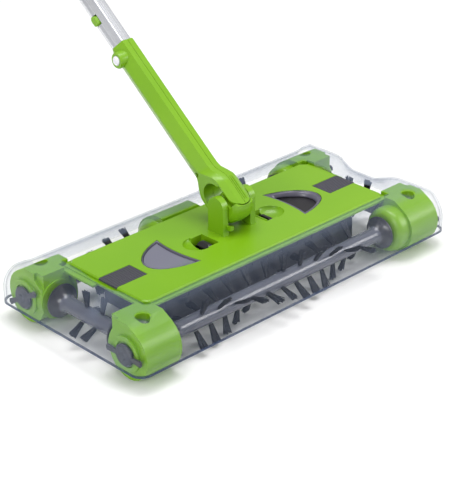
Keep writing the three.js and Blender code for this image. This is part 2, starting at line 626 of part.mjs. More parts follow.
// ---------- drive ----------
function spurOutline(teeth, turn) {
  const pitch = (SPUR.module * teeth) / 2;
  const step = (2 * Math.PI) / teeth;
  const points = [];
  for (let i = 0; i < teeth; i += 1) {
    const middle = turn + i * step;
    const flank = [[pitch - 1.25 * SPUR.module, 0.3], [pitch + 0.75 * SPUR.module, 0.12]];
    const corners = [...flank.map(([radius, half]) => [radius, -half]), ...flank.reverse()];
    for (const [radius, half] of corners) {
      const angle = middle + half * step;
      points.push(new THREE.Vector2(radius * Math.cos(angle), radius * Math.sin(angle)));
    }
  }
  return points;
}

const MESH_ANGLE = Math.atan2(MOTOR.z - ROLL.z, MOTOR.y - ROLL.y); // from the roll towards the motor

function driveGear() {
  const wheel = atRoll(prism(spurOutline(SPUR.gearTeeth, MESH_ANGLE), 'x', SPUR.x0, SPUR.x1), 1);
  const bore = atRoll(rod(SLEEVE.outer + FIT, 'x', SPUR.x0 - 5, SPUR.x1 + 5, COARSE), 1);
  return cut(wheel, bore);
}

function motorPinion() {
  const turn = MESH_ANGLE + Math.PI + Math.PI / SPUR.pinionTeeth;
  const wheel = prism(spurOutline(SPUR.pinionTeeth, turn), 'x', SPUR.x0, SPUR.x1);
  const bore = rod(MOTOR.shaft + FIT, 'x', SPUR.x0 - 5, SPUR.x1 + 5, COARSE);
  return toGeometry(cut(wheel, bore)).translate(0, MOTOR.y, MOTOR.z);
}

function driveMotor() {
  const rows = [
    [MOTOR.x0, 0], [MOTOR.x0, MOTOR.r - 1], [MOTOR.x0 + 1, MOTOR.r], [MOTOR.x1 - 1, MOTOR.r],
    [MOTOR.x1 - 1, 3.4], [MOTOR.x1, 3.4], [MOTOR.x1, MOTOR.shaft],
    [SPUR.x1 + 0.8, MOTOR.shaft], [SPUR.x1 + 0.8, 0],
  ];
  return turned(rows, 'x', COARSE).translate(0, MOTOR.y, MOTOR.z);
}

function driveHousing() {
  const { x0, x1, wall } = DRIVE;
  const drum = prism(housingSection(1), 'x', x0, x1);
  const nose = atRoll(turned([
    [x0 - 5, 0], [x0 - 5, 12], [x0 - 3.6, 15.4], [x0 - 1.4, 17.8], [x0 + 1, 18.4], [x0 + 1, 0],
  ], 'x'), 1);
  const bay = box(x0, x1, DRIVE.bayY, 50, DRIVE.bayBottom, DRIVE.bayTop);
  const drumRoom = atRoll(rod(DRUM.chamber, 'x', x0 + wall, x1 - wall), 1);
  const bayRoom = box(x0 + wall, x1 - wall, DRIVE.bayY + wall, 50,
    DRIVE.bayBottom + wall, DRIVE.bayTop - wall);
  const bore = atRoll(rod(SLEEVE.outer + FIT + 0.3, 'x', x0 - 10, x1 + 10), 1);
  const plateRoom = box(-60, 60, -PLATE.y - GAP, PLATE.y + GAP, PLATE.bottom - GAP, 60);
  const slope = box(-12, 12, -14, 14, 0, 12).rotateY(THREE.MathUtils.degToRad(38)).translate(x1 + 1, 56, 37);
  return cut(join(drum, nose, bay), drumRoom, bayRoom, bore, plateRoom, slope);
}

// ---------- dust tray ----------
function traySection(edge) {
  const x = TRAY.x - edge;
  const r = TRAY.corner - edge;
  const low = TRAY.bottom + edge;
  const high = TRAY.top - edge;
  const shape = new THREE.Shape();
  shape.moveTo(low, -x);
  shape.lineTo(high - r, -x);
  shape.absarc(high - r, -x + r, r, -Math.PI / 2, 0);
  shape.absarc(high - r, x - r, r, 0, Math.PI / 2);
  shape.lineTo(low, x);
  return shape;
}

function dustTray() {
  const { wall } = TRAY;
  const notch = (grow) => box(TRAY_NOTCH.x0 - grow, TRAY_NOTCH.x1 + grow, TRAY_NOTCH.y - grow, 60, 0, 60);
  const outer = prism(traySection(0), 'y', -TRAY.y, TRAY.y, 4);
  const room = cut(prism(traySection(wall), 'y', -TRAY.y + wall, TRAY.y - wall, 4), notch(wall));
  const mouth = box(-TRAY.openX, TRAY.openX, -TRAY.y - 5, TRAY.y + 5, TRAY.lip, TRAY.top + 5);
  const slots = Array.from({ length: TRAY_SLOT.count }, (_, i) => {
    const x = (i - (TRAY_SLOT.count - 1) / 2) * TRAY_SLOT.pitch;
    const half = TRAY_SLOT.width / 2;
    return box(x - half, x + half, -TRAY.y - 2, -TRAY.y + TRAY_SLOT.deep, TRAY_SLOT.z0, TRAY_SLOT.z1);
  });
  const posts = [-1, 1].map((side) =>
    box(side * (LATCH.x0 - 3.4), side * (LATCH.x1 + 3), LATCH.y0 - 1, LATCH.y1 + 1,
      TRAY.bottom + 1, LATCH.foot - GAP));
  return join(cut(outer, notch(0), room, mouth, ...slots), ...posts);
}

// A tongue that stands on the tray; its hook rests on the slot's ledge, and its top corners are rounded.
function trayLatch(side) {
  const { x0, x1, y0, y1, foot, top, hook, hookBottom, round } = LATCH;
  const shape = new THREE.Shape(); // across X: its axes are (y, z)
  shape.moveTo(y0, foot);
  shape.lineTo(y1, foot);
  shape.lineTo(y1, top - round);
  shape.quadraticCurveTo(y1, top, y1 - round, top);
  shape.lineTo(y0 + round, top);
  shape.quadraticCurveTo(y0, top, y0, top - round);
  const [low, high] = [side * x0, side * (x1 + hook)].sort((p, q) => p - q);
  const blade = prism(shape, 'x', low, high, 4);
  const underHook = box(side * x1, side * (x1 + hook + 1), y0 - 1, y1 + 1, foot - 1, hookBottom);
  // The face towards the bowl slopes, so the hook is thickest at its foot.
  const face = [
    [x1 + hook + 1, hookBottom + 0.8],
    [x1 + hook + 1, top + 1],
    [x1 - 0.6, top + 1],
    [x1 - 0.6, top],
    [x1 + hook, hookBottom + 0.8],
  ].map(([x, z]) => new THREE.Vector2(z, side * x));
  return cut(blade, underHook, prism(anticlockwise(face), 'y', y0 - 1, y1 + 1));
}

// ---------- pole, in its own frame: +Z along the pole, -Y its front, origin at the tilt pin ----------
// It turns on the tilt pin; the arm leans from side to side on its two trunnions.
function swivelBlock() {
  const { flat, belly, dome, crown: top, rounding, recess, lip: reach, lipTop } = SWIVEL;
  const [front, rear] = [ARM_BACK - flat, ARM_BACK + flat];
  // The belly is a barrel across X that falls away towards the two ears.
  const profile = [-1, -0.85, -0.6, 0, 0.6, 0.85, 1].map((t) => [dome * t, belly - rounding * t ** 4]);
  const barrel = turned([[-dome, 0], ...profile, [dome, 0]], 'x', FINE);
  const crown = turned([
    [front, 0], [front, top - 2], [front + 1.2, top],
    [rear - 1.2, top], [rear, top - 2], [rear, 0],
  ], 'y', FINE);
  const skirt = box(-dome, dome, front, rear, -belly, 0);
  const lip = cut(box(-dome, dome, -reach, front, -belly, -lipTop),
    rod(recess, 'y', -belly - 1, front, FINE));
  const trunnions = rod(TRUNNION.r, 'y', ARM_BACK - TRUNNION.end, ARM_BACK + TRUNNION.end);
  const bore = rod(PIN.r + FIT, 'x', -dome - 1, dome + 1);
  return cut(join(common(barrel, join(crown, skirt, lip)), trunnions), bore);
}

const tiltPin = () => rod(PIN.r, 'x', -PIN.half, PIN.half);

// Eight-sided outline: flat front and back faces, flat sides, and a slanted face between each pair.
function armOutline(halfX, side, flat, halfY) {
  const quarter = [[halfX, side], [flat, halfY]];
  return [
    ...quarter,
    ...quarter.map(([x, y]) => [-x, y]).reverse(),
    ...quarter.map(([x, y]) => [-x, -y]),
    ...quarter.map(([x, y]) => [x, -y]).reverse(),
  ];
}

// Each row: height, half width across X, half height of the side face, half width and reach of the front.
const ARM_ROWS = [
  [-12, 9.4, 12.9, 5, 15.6],
  [12, 9.4, 12.9, 5, 15.6],
  [17, 9.4, 12.2, 5, 15.1],
  [22, 9.4, 9.2, 5, 12.3],
  [26.5, 9.5, 5, 5, 9.8],
  [31, 9.7, 1.8, 5, 9],
  [40, 9.9, 0.8, 5, 8.9],
  [ARM.top - 0.8, 10, 0.6, 5, 8.8],
  [ARM.top, 9.4, 0.5, 4.7, 8.3],
];

function armBody() {
  const shell = loft(ARM_ROWS.map(([z, ...sizes]) => armOutline(...sizes).map(([x, y]) => [x, y, z])));
  const roundEnd = join(rod(HEAD.halfX, 'y', -25, 25, FINE), box(-15, 15, -25, 25, 0, 160));
  const sweep = join(rod(HEAD.sweep, 'x', -15, 15, FINE).translate(0, -ARM_BACK, 0),
    box(-15, 15, -25, 25, 12, 160));
  const arch = new THREE.Shape();
  arch.moveTo(HEAD.archR, -30);
  arch.lineTo(HEAD.archR, HEAD.archZ);
  arch.absarc(0, HEAD.archZ, HEAD.archR, 0, Math.PI);
  arch.lineTo(-HEAD.archR, -30);
  const tunnel = prism(arch, 'x', -15, 15, 10);
  const boss = turned([
    [0, 0], [0, BOSS.r + 0.8], [BOSS.out - 1, BOSS.r], [BOSS.out, BOSS.r - 0.8], [BOSS.out, 0],
  ], 'x');
  boss.rotateZ(Math.PI).translate(0, 0, BOSS.z);
  const bossHole = rod(BOSS.button + FIT, 'x', -BOSS.out - 5, -6).translate(0, 0, BOSS.z);
  const trunnionHole = rod(TRUNNION.r + FIT, 'y', -TRUNNION.end - GAP, TRUNNION.end + GAP);
  const tubeHole = prism(hexagon(POLE.flat + FIT, POLE.corner), 'z', POLE.from - GAP, ARM.top + 5);
  const screwHole = rod(1.9, 'x', -20, -6).translate(0, 1.6, 30.5);
  const neck = [-1, 1].map((side) => box(side * NECK.halfX, side * 15, -NECK.y1, -NECK.y0, -15, NECK.top));
  const flutes = [1.6, 3.3].map((x) => box(x - 0.35, x + 0.35, -25, -HEAD.halfY + 0.5, -6, 15));
  return cut(common(join(shell, boss), roundEnd, sweep), tunnel, trunnionHole, tubeHole, bossHole,
    screwHole, ...neck, ...flutes);
}

const ARM_BODY = armBody();

function armShell(side) {
  return common(ARM_BODY, box(side * (GAP / 2), side * 30, -40, 40, -40, 200));
}

// A hexagon with rounded corners, its corners pointing along X.
function hexagon(flat, corner) {
  const points = [];
  const reach = (flat - corner) / Math.cos(Math.PI / 6);
  for (let i = 0; i < 6; i += 1) {
    for (const part of [-1, 0, 1]) {
      const angle = (i * Math.PI) / 3 + (part * Math.PI) / 6;
      const middle = (i * Math.PI) / 3;
      points.push(new THREE.Vector2(
        reach * Math.cos(middle) + corner * Math.cos(angle),
        reach * Math.sin(middle) + corner * Math.sin(angle)));
    }
  }
  return points;
}

function lowerTube() {
  const outer = prism(hexagon(POLE.flat, POLE.corner), 'z', POLE.from, POLE.to);
  const bore = rod(POLE.flat - POLE.wall, 'z', POLE.from - 1, POLE.to + 1);
  const halfY = TUBE_BUTTON.w / 2 + FIT;
  const halfZ = TUBE_BUTTON.h / 2 + FIT;
  const buttonHoles = [BOSS.z, TUBE_BUTTON.z].map((z) => box(-20, 0, -halfY, halfY, z - halfZ, z + halfZ));
  return cut(outer, bore, ...buttonHoles);
}

function armButton() {
  const rows = [
    [TUBE_BUTTON.from, 0], [TUBE_BUTTON.from, 2.3], [BOSS.shoulder, 2.3], [BOSS.shoulder, BOSS.button],
    [BOSS.buttonOut - 0.9, BOSS.button], [BOSS.buttonOut, BOSS.button - 1.2], [BOSS.buttonOut, 0],
  ];
  return turned(rows, 'x', COARSE).rotateZ(Math.PI).translate(0, 0, BOSS.z);
}

function tubeButton() {
  const half = TUBE_BUTTON.w / 2;
  const straight = TUBE_BUTTON.h / 2 - half;
  const shape = new THREE.Shape();
  shape.absarc(0, straight, half, 0, Math.PI);
  shape.absarc(0, -straight, half, Math.PI, 2 * Math.PI);
  return prism(shape, 'x', -TUBE_BUTTON.out, -TUBE_BUTTON.from, 6).translate(0, 0, TUBE_BUTTON.z);
}

function batterySection(radius, clampRadius) {
  const points = [];
  const lean = Math.asin((radius - clampRadius) / -BATTERY.y);
  const arc = (cy, r, from, to, steps) => {
    for (let i = 0; i <= steps; i += 1) {
      const angle = from + (i / steps) * (to - from);
      points.push(new THREE.Vector2(r * Math.cos(angle), cy + r * Math.sin(angle)));
    }
  };
  arc(BATTERY.y, radius, Math.PI - lean, 2 * Math.PI + lean, 16);
  arc(0, clampRadius, lean, Math.PI - lean, 8);
  return points;
}

function batteryHousing() {
  const { y, r, z0, z1, wall, clampR } = BATTERY;
  const body = prism(batterySection(r, clampR), 'z', z0, z1);
  const capRoom = box(-clampR - 5, clampR + 5, y + r + GAP, 20, BATTERY.clampTop, z1 + 1);
  const lowFront = box(-30, 30, 0, -60, -60, 0).rotateX(THREE.MathUtils.degToRad(-45))
    .translate(0, y - r, z0 + BATTERY.chamfer);
  const barrel = rod(r - wall, 'z', z0 + 34, z1 + 1, ROUND).translate(0, y, 0);
  const poleHole = prism(hexagon(POLE.flat + FIT, POLE.corner), 'z', z0 - 1, z1 + 1);
  const switchHole = box(-SWITCH.w / 2 - GAP, SWITCH.w / 2 + GAP, y - r - 5, y - r + SWITCH.half + 3,
    SWITCH.z - SWITCH.h / 2 - GAP, SWITCH.z + SWITCH.h / 2 + GAP);
  const screwHole = rod(1.8, 'x', 8, 30).translate(0, -13, z0 + 112);
  return cut(body, capRoom, lowFront, barrel, poleHole, switchHole, screwHole);
}

function batteryCap() {
  const { y, r, z1, wall } = BATTERY;
  const lid = turned([
    [z1 - 4, 0], [z1 - 4, r - wall - FIT], [z1 + GAP, r - wall - FIT], [z1 + GAP, r],
    [BATTERY_CAP.top - 2, r], [BATTERY_CAP.top, r - 2], [BATTERY_CAP.top, 0],
  ], 'z').translate(0, y, 0);
  const poleRoom = prism(hexagon(POLE.flat + 1.2, POLE.corner), 'z', z1 - 10, BATTERY_CAP.top + 5);
  return cut(lid, poleRoom);
}

const batteryPack = () => rod(PACK.r, 'z', PACK.z0, PACK.z1, ROUND).translate(0, BATTERY.y, 0);

function rockerSwitch() {
  const front = BATTERY.y - BATTERY.r;
  const half = SWITCH.rocker / 2;
  const shape = new THREE.Shape();
  shape.moveTo(SWITCH.half, -SWITCH.h / 2 + 3);
  shape.lineTo(-SWITCH.out, -SWITCH.h / 2 + 3);
  shape.lineTo(-SWITCH.out + 1.4, 0);
  shape.lineTo(-SWITCH.out + 0.6, SWITCH.h / 2 - 3);
  shape.lineTo(SWITCH.half, SWITCH.h / 2 - 3);
  return prism(shape, 'x', -half, half).translate(0, front, SWITCH.z);
}

function elbowLower() {
  const { z, r, tongue, collar, low, neck, pin } = ELBOW;
  const sleeve = turned([[low, 0], [low, collar - 1], [low + 1, collar], [z - r - 1.4, collar],
    [z - r - GAP, collar - 1], [z - r - GAP, 0]], 'z');
  const blade = join(rod(r - 0.8, 'x', -tongue, tongue, ROUND).translate(0, 0, z),
    box(-tongue, tongue, -neck, neck, z - r - 2, z));
  const bore = rod(pin + FIT, 'x', -30, 30).translate(0, 0, z);
  const tubeHole = prism(hexagon(POLE.flat + FIT, POLE.corner), 'z', low - 5, POLE.to + GAP);
  return cut(join(sleeve, blade), bore, tubeHole);
}

function elbowUpper() {
  const { z, r, tongue, cheek, collar, high, neck, pin } = ELBOW;
  const rounding = turned([[-r, 0], [-r * 0.8, r * 0.7], [0, r], [r * 0.8, r * 0.7], [r, 0]], 'z', 16);
  const ball = common(rod(r, 'x', -cheek, cheek, ROUND), rounding).translate([0, 0, z]);
  const sleeve = turned([
    [z + 8, 0], [z + 8, collar], [high - 1, collar], [high, collar - 1], [high, 0],
  ], 'z');
  const slot = join(rod(r + GAP, 'x', -tongue - GAP, tongue + GAP, ROUND).translate(0, 0, z),
    box(-tongue - GAP, tongue + GAP, -neck - 20, neck + 20, z - r - 10, z));
  const bore = rod(pin + FIT, 'x', -30, 30).translate(0, 0, z);
  const tubeHole = rod(UPPER.r + FIT, 'z', UPPER.from - GAP, high + 5, ROUND);
  const boss = ELBOW_BUTTON;
  const buttonBoss = rod(boss.r + 1.8, 'x', 6.4, boss.out - 1.6).translate(0, 0, boss.z);
  const buttonHole = rod(boss.r + FIT, 'x', 5, 30).translate(0, 0, boss.z);
  return cut(join(ball, sleeve, buttonBoss), slot, bore, tubeHole, buttonHole);
}

const elbowPin = () => rod(ELBOW.pin, 'x', -ELBOW.cheek + 1, ELBOW.cheek - 1).translate(0, 0, ELBOW.z);

function elbowButton() {
  const { z, r, from, out } = ELBOW_BUTTON;
  const rows = [[from, 0], [from, r], [out - 1, r], [out, r - 1.2], [out, 0]];
  return turned(rows, 'x', COARSE).translate(0, 0, z);
}

function upperTube() {
  const outer = rod(UPPER.r, 'z', UPPER.from, UPPER.to, ROUND);
  return cut(outer, rod(UPPER.r - UPPER.wall, 'z', UPPER.from - 1, UPPER.to + 1, COARSE));
}

function tubeRing() {
  const { z, half, r } = RING;
  return cut(rod(r, 'z', z - half, z + half, ROUND), rod(UPPER.r + FIT, 'z', z - 10, z + 10, ROUND));
}

function grip() {
  const { z0, z1, r } = GRIP;
  const sleeve = turned([[z0, 0], [z0, r - 0.8], [z0 + 1.2, r], [z0 + 60, r + 0.5], [z1, r], [z1, 0]], 'z');
  return cut(sleeve, rod(UPPER.r + FIT, 'z', z0 - 1, z1 + 1, ROUND));
}

function gripCap() {
  const rows = [[GRIP.z1 + GAP, 0], [GRIP.z1 + GAP, CAP.r]];
  const straight = 16;
  const dome = CAP.z1 - GRIP.z1 - straight;
  for (let i = 0; i <= 3; i += 1) {
    const angle = (i / 4) * (Math.PI / 2);
    rows.push([GRIP.z1 + straight + dome * Math.sin(angle), CAP.r * Math.cos(angle) ** 0.8]);
  }
  rows.push([CAP.z1, 0]);
  return turned(rows, 'z');
}

// A flat scraper that rides up out of its clear sleeve; its tip hooks away from the pole.
function scraperTool() {
  const { x, z0, z1, thick, half, hook } = SCRAPER;
  const shape = new THREE.Shape(); // across Y: its axes are (z, x)
  shape.moveTo(z0, x - thick);
  shape.lineTo(z1 - 30, x - thick);
  shape.quadraticCurveTo(z1 - 12, x - thick, z1, x + hook - 1);
  shape.lineTo(z1 - 1, x + hook + 1.4);
  shape.quadraticCurveTo(z1 - 16, x + thick + 1.2, z1 - 34, x + thick);
  shape.lineTo(z0, x + thick - 0.8);
  return prism(shape, 'y', -half, half, 5);
}

function scraperSleeve() {
  const { x, half, thick, sleeveBottom, sleeveTop, z0 } = SCRAPER;
  const wall = 1.3;
  const body = box(x - thick - wall - GAP, x + thick + wall + GAP, -half - wall - GAP, half + wall + GAP,
    sleeveBottom, sleeveTop);
  const room = box(x - thick - GAP, x + thick + GAP, -half - GAP, half + GAP, z0 - GAP, sleeveTop + 1);
  const ring = rod(UPPER.r + 2.4, 'z', z0 + 4, z0 + 16, ROUND);
  const web = box(8, x - thick, -2.4, 2.4, z0 + 4, z0 + 16);
  const bore = rod(UPPER.r + FIT, 'z', z0 - 20, z0 + 40, ROUND);
  return cut(join(body, ring, web), bore, room);
}

// ---------- assembly ----------
const sweeper = new THREE.Group();
const pole = new THREE.Group();
pole.position.z = PIVOT_Z;
pole.rotation.x = -TILT;
sweeper.add(pole);

function add(parent, name, shape, finish) {
  const mesh = new THREE.Mesh(toGeometry(shape), finish);
  mesh.name = name;
  parent.add(mesh);
  return mesh;
}

const SIDES = [['left', -1], ['right', 1]];
const ENDS = [['front', -1], ['rear', 1]];

add(sweeper, 'top_plate', topPlate(), GREEN);
add(sweeper, 'clear_cover', clearCover(), CLEAR);
for (const [side, sx] of SIDES) {
  add(sweeper, `window_bezel_${side}`, windowBezel(sx, WINDOW_SIDE[side]), DARK);
  add(sweeper, `window_lens_${side}`, windowLens(sx, WINDOW_SIDE[side]), SMOKE);
  add(sweeper, `tread_pad_${side}`, treadPad(sx), DARK);
  add(sweeper, `tray_latch_${side}`, trayLatch(sx), DARK);
  add(sweeper, `brush_roll_${side}`, shortRoll(sx), DARK);
  add(sweeper, `bristles_${side}`, shortBristles(sx), BRISTLE);
}
for (const [end, sy] of ENDS) {
  add(sweeper, `brush_roll_${end}`, longRoll(sy), DARK);
  add(sweeper, `bristles_${end}`, longBristles(sy), BRISTLE);
  for (const [side, sx] of SIDES) {
    add(sweeper, `corner_housing_${end}_${side}`, cornerHousing(sx, sy), GREEN);
    add(sweeper, `bevel_gear_${end}_${side}`, bevelGear(sx, sy), DARK);
    add(sweeper, `side_whisker_${end}_${side}`, sideWhisker(sx, sy), DARK);
    const screw = add(sweeper, `cover_screw_${end}_${side}`, coverScrew(), STEEL);
    screw.position.set(sx * ROLL.x, sy * ROLL.y, 0);
  }
}
add(sweeper, 'dust_tray', dustTray(), SMOKE);
add(sweeper, 'drive_housing', driveHousing(), GREEN);
add(sweeper, 'drive_motor', driveMotor(), STEEL);
add(sweeper, 'drive_gear', driveGear(), WHITE);
add(sweeper, 'motor_pinion', motorPinion(), WHITE);

add(pole, 'swivel_block', swivelBlock(), GREEN);
add(pole, 'tilt_pin', tiltPin(), STEEL);

const carried = new THREE.Group(); // everything on the arm's axis
carried.position.y = ARM_BACK;
pole.add(carried);
add(carried, 'arm_shell_left', armShell(-1), GREEN);
add(carried, 'arm_shell_right', armShell(1), GREEN);
add(carried, 'arm_button', armButton(), WHITE);
add(carried, 'lower_tube', lowerTube(), STEEL);
add(carried, 'tube_button', tubeButton(), GREEN);
add(carried, 'battery_housing', batteryHousing(), GREEN);
add(carried, 'battery_cap', batteryCap(), GREEN);
add(carried, 'battery_pack', batteryPack(), DARK);
add(carried, 'rocker_switch', rockerSwitch(), DARK);
add(carried, 'elbow_lower', elbowLower(), GREEN);
add(carried, 'elbow_upper', elbowUpper(), GREEN);
add(carried, 'elbow_pin', elbowPin(), STEEL);
add(carried, 'elbow_button', elbowButton(), GREEN);
add(carried, 'upper_tube', upperTube(), STEEL);
add(carried, 'tube_ring', tubeRing(), BRISTLE);
add(carried, 'grip', grip(), GREEN);
add(carried, 'grip_cap', gripCap(), DARK_GREEN);
add(carried, 'scraper_tool', scraperTool(), GREEN);
add(carried, 'scraper_sleeve', scraperSleeve(), CLEAR);

export default sweeper;
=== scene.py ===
"""Looks of a cordless four-sided carpet sweeper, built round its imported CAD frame.

Lengths named in millimetres are turned into metres by MM. X runs along the head, -Y is its front.
"""
import json
import math
import random

import bmesh
import bpy
from mathutils import Matrix, Vector


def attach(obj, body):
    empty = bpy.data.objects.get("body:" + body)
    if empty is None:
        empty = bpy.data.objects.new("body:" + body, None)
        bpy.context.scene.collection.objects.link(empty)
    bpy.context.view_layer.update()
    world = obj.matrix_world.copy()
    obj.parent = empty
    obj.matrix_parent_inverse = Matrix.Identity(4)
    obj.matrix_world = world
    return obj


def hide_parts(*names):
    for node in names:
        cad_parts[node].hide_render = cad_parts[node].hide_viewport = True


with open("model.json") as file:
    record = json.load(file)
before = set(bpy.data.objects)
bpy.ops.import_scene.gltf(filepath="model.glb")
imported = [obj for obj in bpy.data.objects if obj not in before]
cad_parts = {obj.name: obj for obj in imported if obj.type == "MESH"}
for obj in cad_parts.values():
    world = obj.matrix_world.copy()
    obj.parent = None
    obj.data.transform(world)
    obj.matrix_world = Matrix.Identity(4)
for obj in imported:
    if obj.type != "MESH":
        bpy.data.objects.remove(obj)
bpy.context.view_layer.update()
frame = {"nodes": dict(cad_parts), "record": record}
MM = 0.001
NODES = frame["nodes"]
BODY_OF = {node: body for body, nodes in frame["record"]["behaviour"]["bodies"].items() for node in nodes}
SLOT_OF = {entry["node"]: entry["material_slot"] for entry in frame["record"]["subparts"]}

# ---------- dimensions shared with the CAD model, in millimetres ----------
POLE_LEAN = math.radians(51)
ROLL = {"x": 135, "y": 55, "z": 21.2, "tube": 6.0, "shaft": 2.6}
LONG_ROLL = {"left": -115, "right": 104, "shaft_end": 153.4, "tuft_tip": 20.2}
SHORT_ROLL = {"half": 33, "shaft_end": 48.6, "tuft_tip": 18.7}
DRIVE_GAP = (-37, 21)  # bare stretch of the rear roll, under the drive housing
FLARE = {"rim": 12.8, "length": 11, "width": 1.2, "edge": 0.4, "lip": 0.5, "root": 0.6, "curve": 2.2}
COVER = {"x": 157.5, "y": 77, "bottom": 12.5, "crest": 44.9, "axis_z": 23, "thick": 1.2, "corner": 9}
OPENING = {"x": 124.4, "y": 46.1, "corner": 2}
COVER_DIP = 3
# height of the band along the cover's bottom edge that is painted dark, painted shade of the clear edge
PAINTED_RIM_BAND = 0.6
COVER_FLAT = {"roll": 0.29, "end": 0.76}
COVER_STEPS = {"arc": 7, "side": 32}
DIP_EDGE = (0.1, 0.6)  # shares of half a short side over which the dip fades out
END_EDGE = (0.2, 0.5)  # and over which the section becomes that of the housings' ends
WELL = {"radius": 5.8, "bottom": 40, "top": 48}

# ---------- finish, in millimetres and degrees ----------
MERGE_DISTANCE = 0.004
FLAT_ANGLE = 1
EDGE_ANGLE = 38
TURNED_ANGLE = 40
BEVEL = 0.4
BEVEL_OF_NODE = {"top_plate": 0.35}
for side in ("left", "right"):
    BEVEL_OF_NODE[f"window_bezel_{side}"] = 0
    BEVEL_OF_NODE[f"window_lens_{side}"] = 0.15
    BEVEL_OF_NODE[f"tread_pad_{side}"] = 0.15

# ---------- brush fibres, in millimetres ----------
TUFT = {"pitch": 15, "rows": 3, "fibres": 44, "half": 0.27, "shorter": 1.6, "lean": 0.8, "edge": 6}
TWIST_LENGTH = 260  # along the roll for one turn of a row at a twist of 1
TUFT_ROOT = 0.4  # above the roll's tube
FAN = {"root": (1.3, 0.8), "middle": (2.1, 0.9), "end": (3.1, 1.3)}  # half widths along and across
STRAY = (0.4, 0.3)
JITTER = 0.06  # radians

# ---------- grain of each surface, in noise cells to the metre ----------
DRIFT, GLOSS, SKIN, STREAKS = 9.0, 60.0, 1400.0, 700.0
TINT, SMEARS, FLOOR_DRIFT = 6.0, 40.0, 3.0

# ---------- camera ----------
CAMERA = {"azimuth": -43.44, "elevation": 27.2, "roll": -0.71, "distance": 1072.5, "lens": 107.83}
TARGET = Vector((-29.05, -22.4, 42.5))
FLOOR_SIZE = 40  # metres


# ---------- meshes ----------
def new_object(name, mesh, body, material, replaces=(), second=None):
    """Adds a piece; `second` is a material for the faces that already carry index 1."""
    piece = bpy.data.objects.new(name, mesh)
    bpy.context.scene.collection.objects.link(piece)
    indices = [face.material_index for face in mesh.polygons]
    mesh.materials.clear()
    mesh.materials.append(material)
    if second:
        mesh.materials.append(second)
        mesh.polygons.foreach_set("material_index", indices)
    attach(piece, body)
    if replaces:
        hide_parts(*replaces)
    return piece


def smooth_by_angle(mesh, degrees):
    mesh.shade_smooth()
    mesh.set_sharp_from_angle(angle=math.radians(degrees))


def mesh_from(name, points, faces):
    """A mesh from points in millimetres."""
    mesh = bpy.data.meshes.new(name)
    mesh.from_pydata([Vector(point) * MM for point in points], [], faces)
    bm = bmesh.new()
    bm.from_mesh(mesh)
    bmesh.ops.recalc_face_normals(bm, faces=bm.faces)
    bm.to_mesh(mesh)
    bm.free()
    return mesh


def apply_modifiers(piece):
    """Replaces a piece's mesh by the result of its modifiers."""
    depsgraph = bpy.context.evaluated_depsgraph_get()
    result = bpy.data.meshes.new_from_object(piece.evaluated_get(depsgraph))
    piece.modifiers.clear()
    piece.data = result


def refined(node, material, bevel):
    """A CAD node with its flat facets joined, its edges rounded and its curves shaded smooth."""
    mesh = bpy.data.meshes.new(f"{node}_fine")
    bm = bmesh.new()
    bm.from_mesh(NODES[node].data)
    bmesh.ops.remove_doubles(bm, verts=bm.verts, dist=MERGE_DISTANCE * MM)
    if bevel:
        flat = math.radians(FLAT_ANGLE)
        bmesh.ops.dissolve_limit(bm, angle_limit=flat, verts=bm.verts, edges=bm.edges)
    bmesh.ops.recalc_face_normals(bm, faces=bm.faces)
    bm.to_mesh(mesh)
    bm.free()
    piece = new_object(f"{node}_fine", mesh, BODY_OF[node], material, [node])
    if bevel:
        rounding = piece.modifiers.new("edges", "BEVEL")
        rounding.width = bevel * MM
        rounding.segments = 2
        rounding.limit_method = "ANGLE"
        rounding.angle_limit = math.radians(EDGE_ANGLE)
    smooth_by_angle(piece.data, EDGE_ANGLE)
    flatten = piece.modifiers.new("flat faces", "WEIGHTED_NORMAL")
    flatten.keep_sharp = True
    apply_modifiers(piece)


def lathe(name, rows, sides=56):
    """A closed turned mesh about X from rows of (along, radius)."""
    points = []
    faces = []
    rings = []
    for along, radius in rows:
        if radius == 0:
            rings.append([len(points)])
            points.append((along, 0, 0))
            continue
        ring = []
        for i in range(sides):
            angle = 2 * math.pi * i / sides
            ring.append(len(points))
            points.append((along, radius * math.cos(angle), radius * math.sin(angle)))
        rings.append(ring)
    for low, high in zip(rings, rings[1:]):
        for i in range(sides):
            j = (i + 1) % sides
            corners = [low[i % len(low)], low[j % len(low)], high[j % len(high)], high[i % len(high)]]
            face = list(dict.fromkeys(corners))
            if len(face) > 2:
                faces.append(face)
    return mesh_from(name, points, faces)


def move(mesh, turn_z, offset):
    """Turns a mesh about Z, then shifts it by millimetres."""
    mesh.transform(Matrix.Translation(Vector(offset) * MM) @ Matrix.Rotation(turn_z, 4, "Z"))


